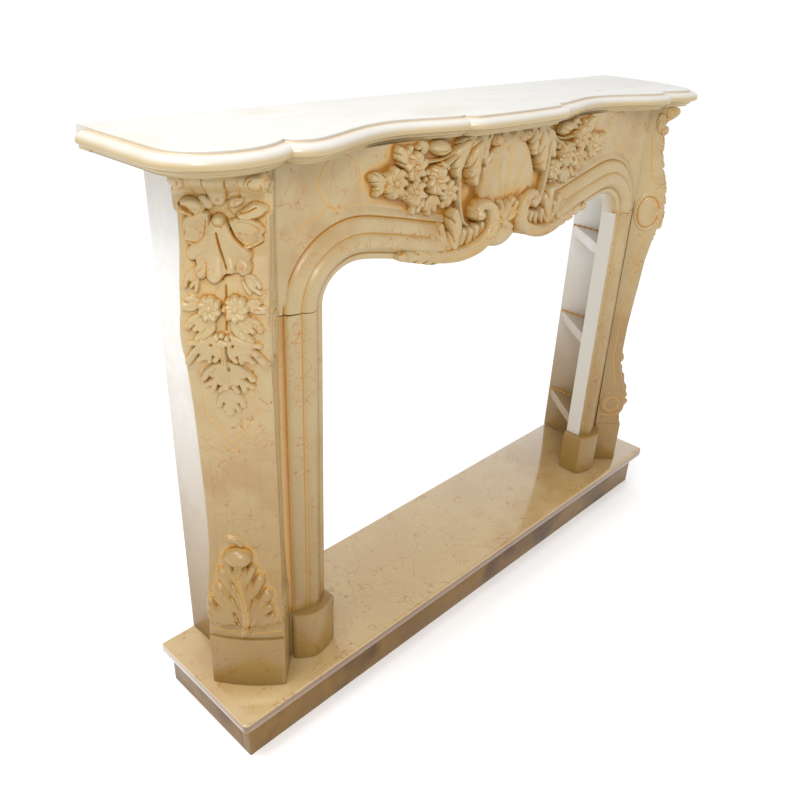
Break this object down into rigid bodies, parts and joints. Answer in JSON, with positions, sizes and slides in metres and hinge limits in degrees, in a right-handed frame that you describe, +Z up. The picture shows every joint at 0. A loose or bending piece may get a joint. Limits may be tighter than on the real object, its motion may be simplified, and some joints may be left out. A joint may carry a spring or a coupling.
{
  "type": "fireplace mantel",
  "caption": "Carved stone fireplace mantel with a serpentine shelf, arched opening, canted scroll consoles and a raised hearth slab.",
  "frame": {"origin": "on the floor under the middle of the whole, hearth and shelf included", "axes": "+Z up, the front faces -Y, +X to the right as seen from the front"},
  "size_m": [1.5978, 0.3412, 1.2],
  "materials": {
    "carved_stone": "polished, with darker amber left in the carving",
    "shelf_stone": "polished, veined",
    "panel_stone": "honed",
    "hearth_stone": "polished, veined",
    "riser_stone": "polished, veined"
  },
  "bodies": {
    "root": {"mantel_shelf": "shelf_stone", "frieze": "carved_stone", "jamb_left": "carved_stone", "jamb_right": "carved_stone", "console_left": "carved_stone", "console_right": "carved_stone", "console_foot_left": "carved_stone", "console_foot_right": "carved_stone", "side_panel_left": "panel_stone", "side_panel_right": "panel_stone", "brace_left_1": "panel_stone", "brace_left_2": "panel_stone", "brace_left_3": "panel_stone", "brace_right_1": "panel_stone", "brace_right_2": "panel_stone", "brace_right_3": "panel_stone", "hearth_slab": "hearth_stone", "hearth_riser_front": "riser_stone", "hearth_riser_left": "riser_stone", "hearth_riser_right": "riser_stone"}
  },
  "joints": []
}
